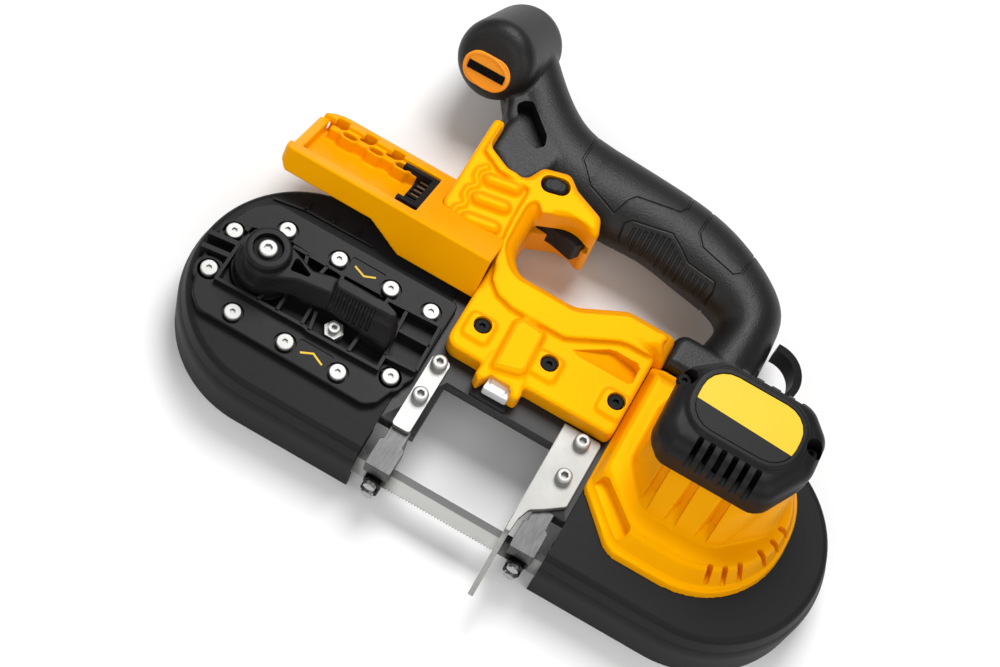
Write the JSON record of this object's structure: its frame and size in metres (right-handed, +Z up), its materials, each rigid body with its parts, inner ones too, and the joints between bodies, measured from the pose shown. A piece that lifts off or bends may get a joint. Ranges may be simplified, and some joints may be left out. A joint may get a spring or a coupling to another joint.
{
  "type": "portable band saw",
  "caption": "Cordless portable band saw lying on its rims: wheel guards, blade across an open throat, tension lever, D-handle, front handle, battery tray and motor.",
  "frame": {"origin": "under the middle of the whole saw's box, on the plane of the guard rims that it lies on", "axes": "+X from the idler wheel to the motor, +Y from the blade to the handles, +Z up through the cover side"},
  "size_m": [0.3926, 0.3322, 0.114],
  "materials": {
    "yellow_plastic": "moulded orange-yellow plastic, half matte",
    "guard_black": "fine grained black moulding",
    "frame_black": "black painted casting",
    "black_plastic": "black moulded plastic",
    "grip_rubber": "soft black overmould with a fine grain",
    "plated_steel": "bright zinc plate",
    "block_steel": "brushed steel",
    "blade_steel": "rolled band steel",
    "dark_steel": "black oxide steel",
    "bearing_steel": "ground steel",
    "cast_aluminium": "cast and turned aluminium",
    "motor_iron": "laminated iron",
    "tyre_rubber": "smooth black rubber",
    "orange_plastic": "orange moulded plastic",
    "badge_yellow": "plain plate, no print",
    "contact_brass": "bright contact metal",
    "lens_clear": "clear moulded lens"
  },
  "bodies": {
    "saw": {"main_frame": "frame_black", "front_guard": "guard_black", "rear_guard": "guard_black", "cover_plate": "black_plastic", "cover_screws": "plated_steel", "tracking_nut": "plated_steel", "saw_blade": "blade_steel", "spindle_bearings": "bearing_steel", "gear_cover": "cast_aluminium", "motor_stator": "motor_iron", "motor_bearings": "bearing_steel", "motor_housing": "yellow_plastic", "end_cap": "black_plastic", "cap_badge": "badge_yellow", "cap_screws": "dark_steel", "body_shell_upper": "yellow_plastic", "body_shell_lower": "yellow_plastic", "body_screws": "dark_steel", "battery_foot": "yellow_plastic", "terminal_block": "black_plastic", "terminal_contacts": "contact_brass", "main_handle": "grip_rubber", "grip_pad": "grip_rubber", "front_handle": "grip_rubber", "key_holder": "orange_plastic", "switch_module": "black_plastic", "hook_pin": "bearing_steel", "led_lens": "lens_clear", "front_guide_bracket": "plated_steel", "work_stop": "plated_steel", "guide_bolts": "plated_steel", "front_guide_block": "block_steel", "rear_guide_block": "block_steel", "roller_pins": "bearing_steel"},
    "carriage": {"tension_carriage": "cast_aluminium", "idler_axle": "bearing_steel", "idler_bearings": "bearing_steel", "tension_spring": "bearing_steel"},
    "idler": {"idler_wheel": "cast_aluminium", "idler_tyre": "tyre_rubber"},
    "lever": {"tension_lever": "black_plastic", "lever_shaft": "bearing_steel", "lever_screw": "plated_steel"},
    "tracking": {"tracking_screw": "plated_steel"},
    "drive": {"drive_wheel": "cast_aluminium", "drive_tyre": "tyre_rubber", "drive_spindle": "bearing_steel", "drive_gear": "bearing_steel"},
    "rotor": {"motor_shaft": "bearing_steel", "motor_rotor": "motor_iron", "motor_fan": "black_plastic"},
    "trigger_lever": {"trigger": "black_plastic"},
    "lock": {"lock_button": "black_plastic"},
    "hook": {"hang_hook": "dark_steel"},
    "key": {"hex_key": "dark_steel"},
    "front_roller_upper_body": {"front_roller_upper": "dark_steel"},
    "front_roller_lower_body": {"front_roller_lower": "dark_steel"},
    "rear_roller_upper_body": {"rear_roller_upper": "dark_steel"},
    "rear_roller_lower_body": {"rear_roller_lower": "dark_steel"}
  },
  "joints": [
    {"name": "drive_spin", "type": "hinge", "parent": "saw", "child": "drive", "pos_m": [0.12828, -0.07007, 0.02], "axis": [0, 0, 1], "continuous": true},
    {"name": "lever_swing", "type": "hinge", "parent": "saw", "child": "lever", "pos_m": [-0.15338, -0.07126, 0.047], "axis": [0, 0, 1], "range_deg": [-180, 0]},
    {"name": "tension_slide", "type": "slide", "parent": "saw", "child": "carriage", "axis": [1, 0, 0], "range_m": [0, 0.008]},
    {"name": "idler_spin", "type": "hinge", "parent": "carriage", "child": "idler", "pos_m": [-0.12828, -0.07007, 0.02], "axis": [0, 0, 1], "continuous": true},
    {"name": "rotor_spin", "type": "hinge", "parent": "saw", "child": "rotor", "pos_m": [0.11078, -0.04885, 0.066], "axis": [0, 0, 1], "continuous": true},
    {"name": "trigger_pull", "type": "hinge", "parent": "saw", "child": "trigger_lever", "pos_m": [-0.03778, 0.04943, 0.033], "axis": [0, 0, 1], "range_deg": [0, 7], "stiffness_Nm_per_rad": 1},
    {"name": "lock_slide", "type": "slide", "parent": "saw", "child": "lock", "axis": [0, 0, 1], "range_m": [-0.005, 0], "stiffness_N_per_m": 150},
    {"name": "hook_swing", "type": "hinge", "parent": "saw", "child": "hook", "pos_m": [0.10322, 0.01594, 0.033], "axis": [0, 0, 1], "range_deg": [-35, 0]},
    {"name": "key_pull", "type": "slide", "parent": "saw", "child": "key", "axis": [-0.118, -0.8001, 0.5881], "range_m": [0, 0.026]},
    {"name": "tracking_turn", "type": "hinge", "parent": "saw", "child": "tracking", "pos_m": [-0.10328, -0.08306, 0.047], "axis": [0, 0, 1], "range_deg": [-180, 180]},
    {"name": "front_roller_spin_upper", "type": "hinge", "parent": "saw", "child": "front_roller_upper_body", "pos_m": [-0.04448, -0.13201, 0.0256], "axis": [0, 1, 0], "continuous": true},
    {"name": "front_roller_spin_lower", "type": "hinge", "parent": "saw", "child": "front_roller_lower_body", "pos_m": [-0.04448, -0.13201, 0.0144], "axis": [0, 1, 0], "continuous": true},
    {"name": "rear_roller_spin_upper", "type": "hinge", "parent": "saw", "child": "rear_roller_upper_body", "pos_m": [0.04422, -0.13201, 0.0256], "axis": [0, 1, 0], "continuous": true},
    {"name": "rear_roller_spin_lower", "type": "hinge", "parent": "saw", "child": "rear_roller_lower_body", "pos_m": [0.04422, -0.13201, 0.0144], "axis": [0, 1, 0], "continuous": true}
  ],
  "couplings": [
    {"joint": "idler_spin", "follows": "drive_spin", "ratio": 1},
    {"joint": "rotor_spin", "follows": "drive_spin", "ratio": -3.4},
    {"joint": "tension_slide", "follows": "lever_swing", "m_per_rad": -0.0025465},
    {"joint": "front_roller_spin_upper", "follows": "drive_spin", "ratio": -12.06},
    {"joint": "front_roller_spin_lower", "follows": "drive_spin", "ratio": 12.06},
    {"joint": "rear_roller_spin_upper", "follows": "drive_spin", "ratio": -12.06},
    {"joint": "rear_roller_spin_lower", "follows": "drive_spin", "ratio": 12.06}
  ]
}
